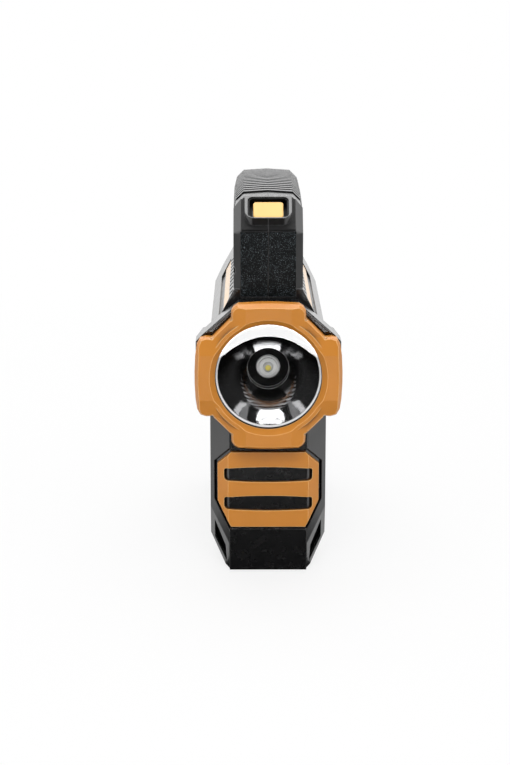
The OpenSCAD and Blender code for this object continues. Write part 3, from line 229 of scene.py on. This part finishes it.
def off_axis(tree, coords):
    """Distance from the axis of the lamp."""
    flat = vector_maths(tree, "MULTIPLY", coords, (1, 0, 1))["Vector"]
    centred = vector_maths(tree, "SUBTRACT", flat, (0, 0, LAMP_Z))["Vector"]
    return vector_maths(tree, "LENGTH", centred)["Value"]


# Share of its brightness that the reflector keeps where a dark reflection, or the seal's shadow, is
# painted into it
PAINTED_DARK = 0.02
# Radii between which the painted dark reflection fades outward, and heights between which it fades
# upward
BRIGHTENS = (13.5 * MM, 18 * MM)
BRIGHTENS_UP = (LAMP_Z + 4 * MM, LAMP_Z + 9 * MM)
# Radii between which the metal of the bowl ends, and between which the seal's painted shadow starts
BOWL_ENDS = (25.1 * MM, 25.3 * MM)
SHADE_STARTS = (26.0 * MM, 26.15 * MM)
# Waves a metre of the moulding under the plating
WAVES = 130.0


def mirror_metal(name):
    """Vacuum-metallised reflector with the faint waves of its moulding. A dark reflection is painted
    into it round the lamp, but not above it. Its flange is pale and not metallic, and has a painted
    shadow under the seal."""
    mat, tree, shader, coords = start_material(name)
    haze = noise(tree, coords, 90.0, 3.0)
    radius = off_axis(tree, coords)
    height = add(tree, "ShaderNodeSeparateXYZ", {0: coords}).outputs["Z"]
    # Painted reflection: the metal is darkened round the lamp, but not above it
    bright = either(
        tree,
        spread(tree, radius, PAINTED_DARK, 1.0, *BRIGHTENS),
        spread(tree, height, PAINTED_DARK, 1.0, *BRIGHTENS_UP),
    )
    plated = maths(tree, "MULTIPLY", spread(tree, haze, 0.96, 1.0), bright)
    # Painted shadow: the flange is darkened under the seal
    shown = maths(tree, "MULTIPLY", plated, spread(tree, radius, 1.0, PAINTED_DARK, *SHADE_STARTS))
    inputs = {
        "Base Color": tinted(tree, (0.90, 0.90, 0.91), shown),
        "Roughness": spread(tree, haze, 0.02, 0.06),
        "Metallic": spread(tree, radius, 1.0, 0.0, *BOWL_ENDS),
    }
    fill(tree, shader, inputs)
    bump(tree, shader, noise(tree, coords, WAVES), 0.22, 0.12 * MM)
    return mat


# Radii between which the yellow of the chip ends
CHIP_ENDS = (1.3 * MM, 1.7 * MM)


def lamp_dome(name):
    """Clear silicone dome over the yellow phosphor of the lamp's chip."""
    mat, tree, shader, coords = start_material(name)
    chip = spread(tree, off_axis(tree, coords), 1.0, 0.0, *CHIP_ENDS)
    cloud = noise(tree, coords, 900.0)
    pale = tinted(tree, (0.90, 0.91, 0.88), spread(tree, cloud, 0.8, 1.0))
    inputs = {
        "Base Color": mixed(tree, "MIX", chip, pale, (0.85, 0.72, 0.16)),
        "Roughness": 0.08,
        "Coat Weight": 1.0,
    }
    fill(tree, shader, inputs)
    return mat


def clear_glass(name):
    """A clear pane: shadow and diffuse rays pass straight through it."""
    mat, tree, shader, coords = start_material(name)
    film = noise(tree, coords, 70.0, 3.0)
    inputs = {
        "Base Color": tinted(tree, grey(1.0), spread(tree, film, 0.98, 1.0)),
        "Roughness": spread(tree, film, 0.0, 0.02),
        "Transmission Weight": 1.0,
        "IOR": 1.52,
        "Coat Weight": 1.0,
        "Coat Roughness": 0.01,
    }
    fill(tree, shader, inputs)
    path = add(tree, "ShaderNodeLightPath").outputs
    through = either(tree, path["Is Shadow Ray"], path["Is Diffuse Ray"])
    clear = add(tree, "ShaderNodeBsdfTransparent").outputs[0]
    inputs = {0: through, 1: shader.outputs[0], 2: clear}
    surface(tree, add(tree, "ShaderNodeMixShader", inputs).outputs[0])
    return mat


def circuit(name):
    """Green solder mask with paler tracks under it."""
    mat, tree, shader, coords = start_material(name)
    inputs = {"Vector": coords, "Scale": 150.0, "Mortar Size": 0.03}
    tracks = add(tree, "ShaderNodeTexBrick", inputs).outputs["Fac"]
    mask = mixed(tree, "MIX", tracks, (0.012, 0.09, 0.035), (0.03, 0.17, 0.07))
    fill(tree, shader, {"Base Color": mask, "Roughness": 0.3})
    bump(tree, shader, noise(tree, coords, 900.0), 0.2, 0.03 * MM)
    return mat


# ---- Materials of the case ----

BLACK = (0.0035, 0.0035, 0.0038)

# The paler edge colours given below are painted highlights, and the corner levels painted shade
SHELL = moulded(
    "shell_plastic",
    BLACK,
    0.34,
    grain_mm=0.35,
    mottle=0.08,
    specular=0.8,
    coat=0.7,
    edge=0.45,
    edge_highlight=grey(0.06),
)
GLOSS = moulded(
    "gloss_black",
    BLACK,
    0.26,
    grain_mm=0.5,
    grain=0.12,
    specular=0.7,
    coat=0.6,
    edge=0.5,
    edge_highlight=grey(0.08),
)
AMBER = moulded(
    "amber_plastic",
    (0.53, 0.197, 0.020),
    0.38,
    mottle=0.03,
    edge=0.5,
    edge_highlight=(0.95, 0.60, 0.25),
    corner_shade=0.35,
)
# Glossier than the front's amber, and paler: the paler colour is a painted sheen of grazing light on
# the same orange plastic
SHOULDER = moulded(
    "amber_gloss_and_painted_sheen",
    (0.88, 0.50, 0.16),
    0.32,
    grain_mm=0.35,
    grain=0.3,
    mottle=0.03,
    specular=0.6,
    coat=0.8,
    edge=0.4,
)
BUTTON = moulded(
    "button_amber", (0.72, 0.43, 0.12), 0.34, grain_mm=0.4, grain=0.15, mottle=0.03, edge=0.6
)
GRIP = moulded(
    "grip_rubber",
    (0.016, 0.016, 0.017),
    0.36,
    grain_mm=0.25,
    grain=0.3,
    mottle=0.08,
    specular=1.0,
    coat=0.6,
    edge=0.12,
    edge_highlight=grey(0.05),
    corner_shade=0.2,
)
# The pads' pale dot colour is a painted glint
PADS = pimpled("pad_rubber", (0.0025, 0.0036, 0.0042), (0.37, 0.44, 0.48), 0.5)
SEAL = moulded("seal_rubber", grey(0.002), 0.5, grain=0.3, mottle=0.08, specular=0.2)
FOOT = moulded("foot_rubber", grey(0.006), 0.6, grain=0.3, mottle=0.08, specular=0.3)

# ---- Materials of the lamp ----

LENS = clear_glass("lens_clear")
MIRROR = mirror_metal("reflector_metal")
# The shroud's and the emitter's pale edge colours are painted highlights
SHROUD = moulded(
    "shroud_black", grey(0.002), 0.5, grain=0.2, specular=0.2, edge=0.35, edge_highlight=grey(0.7)
)
BOARD_WHITE = moulded(
    "lamp_board_white", (0.72, 0.73, 0.72), 0.4, grain_mm=0.5, grain=0.1, mottle=0.03
)
EMITTER = moulded(
    "emitter_base", (0.85, 0.86, 0.85), 0.35, grain=0.2, mottle=0.06, coat=1.0, edge_highlight=grey(1.0)
)
DOME = lamp_dome("emitter_dome")
SINK = metal("sink_aluminium", (0.62, 0.63, 0.65), 0.35, brushed=True)

# ---- Materials of the inside and the sockets ----

TRAY = moulded("tray_plastic", (0.08, 0.09, 0.11), 0.5)
CELL = metal("cell_foil", (0.66, 0.67, 0.70), 0.38)
FOAM = moulded("foam_grey", grey(0.12), 0.85, grain_mm=0.9, grain=0.9, mottle=0.1)
NICKEL = metal("bus_nickel", (0.62, 0.58, 0.48), 0.3, brushed=True)
BOARD = circuit("circuit_board")
CHIPS = moulded("board_part", (0.02, 0.02, 0.022), 0.35)
STEEL = metal("screw_steel", (0.50, 0.51, 0.52), 0.34, brushed=True, dirt=0.1)
BLUE = moulded("socket_blue", (0.02, 0.09, 0.34), 0.36, grain_mm=0.4, grain=0.2)
BRASS = metal("contact_brass", (0.78, 0.60, 0.28), 0.25)
SHIELD = metal("socket_steel", (0.60, 0.61, 0.63), 0.28)
PIPE = moulded("light_pipe", (0.62, 0.70, 0.62), 0.3, grain_mm=0.5, grain=0.1, mottle=0.04)

# ---- The frame's pieces ----

# Points closer than this are one, and faces that meet flatter than this angle are one face
SAME_POINT = 0.002 * MM
FLAT = math.radians(0.3)
# Edges sharper than this angle are rounded, in this many steps
SHARP = math.radians(30)
ROUNDING_STEPS = 3


def dress(name, mat, edge=0.0):
    """Gives a piece its finish and, where edge is a width in millimetres, rounds the edges of
    its mesh. Mouldings without it are rounded by their material alone."""
    piece = nodes[name]
    piece.data.materials.clear()
    piece.data.materials.append(mat)
    if edge:
        weld = piece.modifiers.new("weld", "WELD")
        weld.merge_threshold = SAME_POINT
        flat = piece.modifiers.new("flat", "DECIMATE")
        flat.decimate_type = "DISSOLVE"
        flat.angle_limit = FLAT
        bevel = piece.modifiers.new("edges", "BEVEL")
        bevel.width = edge * MM
        bevel.segments = ROUNDING_STEPS
        bevel.limit_method = "ANGLE"
        bevel.angle_limit = SHARP
        bevel.use_clamp_overlap = True
        bevel.miter_outer = "MITER_ARC"
        normals = piece.modifiers.new("normals", "WEIGHTED_NORMAL")
        normals.keep_sharp = True


# Case, handle and front
dress("housing_left", SHELL)
dress("housing_right", SHELL)
dress("head_collar", GLOSS)
dress("front_plate", GLOSS)
dress("front_panel", AMBER)
for side in ("left", "right"):
    dress("shoulder_panel_" + side, SHOULDER)
    dress("front_pad_" + side, PADS)
dress("grip_pad", GRIP)
dress("button_seal", SEAL)
dress("power_button", BUTTON, 0.5)
dress("case_screws", STEEL, 0.15)
dress("rubber_feet", FOOT, 0.3)

# Lamp
dress("bezel", AMBER)
dress("lens", LENS, 0.3)
dress("lens_seal", SEAL)
dress("reflector", MIRROR)
dress("led_shroud", SHROUD)
dress("led_board", BOARD_WHITE)
dress("led_emitter", EMITTER, 0.2)
dress("led_dome", DOME)
dress("heat_sink", SINK)

# Inside
dress("power_switch", CHIPS)
dress("battery_tray", TRAY)
for number in range(1, 5):
    dress("battery_cell_%d" % number, CELL)
dress("cell_foam", FOAM)
dress("busbars", NICKEL)
dress("main_board", BOARD)
dress("board_parts", CHIPS)
dress("board_screws", STEEL)

# Socket bay
dress("socket_panel", SHELL)
dress("output_socket", BLUE, 0.25)
dress("output_contacts", BRASS, 0.4)
dress("usb_sockets", SHIELD)
dress("charge_socket", CHIPS, 0.2)
dress("socket_board", BOARD)
dress("indicator_lens", PIPE, 0.2)
dress("check_button", AMBER, 0.35)
dress("check_switch", CHIPS)
dress("port_seal", SEAL)
dress("port_cover", SHELL)
dress("hinge_pin", STEEL)

# ---- Camera ----

CAMERA_PLACE = (-9.4 * MM, FRONT - 833.4 * MM, 305.1 * MM)
# Degrees that the camera looks down and turns about the vertical
LOOKS_DOWN = 13.7
TURNS = -0.188

data = bpy.data.cameras.new("camera")
data.sensor_width = 36.0
data.lens = 82.35
data.clip_start = 0.01
data.clip_end = 50
camera = bpy.data.objects.new("camera", data)
camera.location = CAMERA_PLACE
camera.rotation_euler = (math.radians(90 - LOOKS_DOWN), 0, math.radians(TURNS))
scene.collection.objects.link(camera)
scene.camera = camera

# ---- Floor, flag and lights ----


def sheet(name, corners, mat):
    """A flat piece of the studio."""
    mesh = bpy.data.meshes.new(name)
    mesh.from_pydata(corners, [], [tuple(range(len(corners)))])
    obj = bpy.data.objects.new(name, mesh)
    obj.data.materials.append(mat)
    scene.collection.objects.link(obj)
    return obj


def only_in_reflections(obj, glossy=True, transmission=True):
    """Hides a piece of the studio from all rays but these two kinds."""
    obj.visible_camera = False
    obj.visible_diffuse = False
    obj.visible_shadow = False
    obj.visible_glossy = glossy
    obj.visible_transmission = transmission


# Distances from the middle between which the floor's share of pure white grows, and that share
WHITENS = (0.12, 0.7)
WHITE_SHARE = (0.82, 1.0)
# In reflections the floor darkens sideways, between distances that are taken from a line at
# this slope, to this level
SIDE_SLOPE = 0.8
SIDE_DARKENS = (0.40, 0.60)
SIDE_LEVEL = 0.3


def floor_material():
    """Pale floor that is white to the camera, keeps the object's shadow and, in reflections,
    darkens far out at the sides."""
    mat, tree, shader, coords = start_material("floor")
    inputs = {"Base Color": (0.62, 0.62, 0.62, 1), "Roughness": 0.9, "Specular IOR Level": 0.0}
    fill(tree, shader, inputs)
    path = add(tree, "ShaderNodeLightPath").outputs
    reflected = either(tree, path["Is Glossy Ray"], path["Is Transmission Ray"])
    seen = either(tree, path["Is Camera Ray"], reflected)
    reach = vector_maths(tree, "LENGTH", coords)["Value"]
    share = maths(tree, "MULTIPLY", seen, spread(tree, reach, *WHITE_SHARE, *WHITENS))
    place = add(tree, "ShaderNodeSeparateXYZ", {0: coords}).outputs
    line = maths(tree, "MULTIPLY", place["Y"], SIDE_SLOPE)
    past_line = maths(tree, "SUBTRACT", maths(tree, "ABSOLUTE", place["X"]), line)
    dimmed = spread(tree, past_line, 1.0, SIDE_LEVEL, *SIDE_DARKENS)
    strength = either(tree, path["Is Camera Ray"], dimmed)
    inputs = {"Color": (1, 1, 1, 1), "Strength": strength}
    white = add(tree, "ShaderNodeEmission", inputs).outputs[0]
    inputs = {0: share, 1: shader.outputs[0], 2: white}
    surface(tree, add(tree, "ShaderNodeMixShader", inputs).outputs[0])
    return mat


def flag_material():
    """Matt black."""
    mat, tree, shader, _ = start_material("flag")
    inputs = {"Base Color": (0.01, 0.01, 0.01, 1), "Specular IOR Level": 0.0}
    fill(tree, shader, inputs)
    return mat


def softbox(name, place, target, side, watts, glossy=True):
    """A square light that faces its target. Reflections show it only if it is glossy."""
    light = bpy.data.lights.new(name, "AREA")
    light.shape = "RECTANGLE"
    light.size = side
    light.size_y = side
    light.energy = watts
    obj = bpy.data.objects.new(name, light)
    obj.location = place
    aim = Vector(target) - Vector(place)
    obj.rotation_euler = aim.to_track_quat("-Z", "Y").to_euler()
    obj.visible_camera = False
    obj.visible_glossy = glossy
    obj.visible_transmission = glossy
    scene.collection.objects.link(obj)


# Half the width of the floor
FLOOR = 6.0
floor_outline = [(-FLOOR, -FLOOR), (FLOOR, -FLOOR), (FLOOR, FLOOR), (-FLOOR, FLOOR)]
sheet("floor", [(x, y, 0) for x, y in floor_outline], floor_material())

# The flag lies just above the floor in front and keeps it out of the front faces' reflections
FLAG_Z = 0.2 * MM
FLAG_FAR = -1.9
FLAG_NEAR = FRONT + 0.02
flag_outline = [(-0.34, FLAG_FAR), (0.34, FLAG_FAR), (0.12, FLAG_NEAR), (-0.12, FLAG_NEAR)]
flag = sheet("flag", [(x, y, FLAG_Z) for x, y in flag_outline], flag_material())
only_in_reflections(flag)

softbox("top", (0, 0.55, 1.3), (0, 0.1, 0.1), 1.3, 17)
softbox("left", (-1.1, -0.75, 0.7), (0, 0, 0.1), 0.8, 1.5)
softbox("right", (1.1, -0.75, 0.7), (0, 0, 0.1), 0.8, 1.5)
softbox("front", (0, -1.0, 1.25), (0, 0, 0.1), 0.7, 13, glossy=False)

# ---- Cards that the lens and the reflector mirror ----

# Light from the reflector has passed the lens's two faces on the way in and again out
FACES_BEFORE_LAST = 3.0


def card(name, corners, strength, glossy, full_at=1):
    """Lit card in front, out of the camera's sight. Only the lens's own reflection, or only
    what comes back out of the reflector, takes it up. It fades in from the floor to the
    height full_at. Corners are millimetres across, away from the front and up."""
    mat, tree, _, coords = start_material(name)
    height = add(tree, "ShaderNodeSeparateXYZ", {0: coords}).outputs["Z"]
    level = spread(tree, height, 0.0, strength, 0.0, full_at * MM)
    if not glossy:
        faces = add(tree, "ShaderNodeLightPath").outputs["Transmission Depth"]
        level = maths(tree, "MULTIPLY", level, maths(tree, "GREATER_THAN", faces, FACES_BEFORE_LAST))
    inputs = {"Color": (1, 1, 1, 1), "Strength": level}
    surface(tree, add(tree, "ShaderNodeEmission", inputs).outputs[0])
    points = [(x * MM, FRONT - y * MM, z * MM) for x, y, z in corners]
    only_in_reflections(sheet(name, points, mat), glossy=glossy, transmission=not glossy)


# How far in front the upright cards stand
CARDS_AWAY = 490
SIDE_CARDS_AWAY = 900


def upright(outline, away):
    return [(x, away, z) for x, z in outline]


# The lens at x and z mirrors the upright cards at this many times x and z, plus these
MIRRORED = 1.588
MIRRORED_X = 5.5
MIRRORED_Z = -179.4
# Lower edge of the bright crescent on the lens: half its width, the height of its middle over
# the lamp's axis, and its bend
CRESCENT_HALF_W = 23.4
CRESCENT_MIDDLE = 20.2
CRESCENT_BEND = 0.0195
CRESCENT_STEPS = 12

crescent = []
for step in range(-CRESCENT_STEPS, CRESCENT_STEPS + 1):
    x = CRESCENT_HALF_W * step / CRESCENT_STEPS
    z = CRESCENT_MIDDLE - CRESCENT_BEND * x * x + LAMP_Z / MM
    crescent.append((MIRRORED * x + MIRRORED_X, MIRRORED * z + MIRRORED_Z))
low = crescent[0][1]
lens_part = [(-80, low), *crescent, (90, low), (90, 30), (-80, 30)]
card("lens_card", upright(lens_part, CARDS_AWAY), 11.5, True, 4)

# What comes back out of the bowl shows a card ahead, its foot on the floor and one at each side
bowl_part = [(-80, 0.5), (91, 0.5), (88, 20), (68, 40), (30, 55), (-19, 55), (-57, 40), (-77, 20)]
card("bowl_card", upright(bowl_part, CARDS_AWAY), 2.6, False, 8)
card("bowl_foot", [(-70, 488, 1), (81, 488, 1), (60, 395, 1), (-50, 395, 1)], 2.2, False)

zone = [(165, 95), (300, 118), (295, 200), (190, 175)]
for side in (-1, 1):
    mirrored_zone = [(side * x, z) for x, z in zone]
    card("bowl_side_%d" % (side + 1), upright(mirrored_zone, SIDE_CARDS_AWAY), 0.9, False)

# ---- World ----

# Level of the world's diffuse light
DAYLIGHT = 0.55
# Reflections find a dark room in front and white walls at the sides and behind: its levels,
# and the depths of direction between which it brightens
ROOM_LEVELS = (0.02, 1.2)
ROOM_BRIGHTENS = (-0.3, 0.05)

world = bpy.data.worlds.new("studio")
world.use_nodes = True
scene.world = world
tree = world.node_tree
path = add(tree, "ShaderNodeLightPath").outputs
direction = add(tree, "ShaderNodeTexCoord").outputs["Generated"]
depth = add(tree, "ShaderNodeSeparateXYZ", {0: direction}).outputs["Y"]
mirrored = spread(tree, depth, *ROOM_LEVELS, *ROOM_BRIGHTENS)
reflected = either(tree, path["Is Glossy Ray"], path["Is Transmission Ray"])
lit = add(tree, "ShaderNodeMix", {0: reflected, 2: DAYLIGHT, 3: mirrored}).outputs[0]
level = either(tree, lit, path["Is Camera Ray"])
fill(tree, tree.nodes["Background"], {"Color": (1, 1, 1, 1), "Strength": level})

scene.view_settings.view_transform = "Standard"
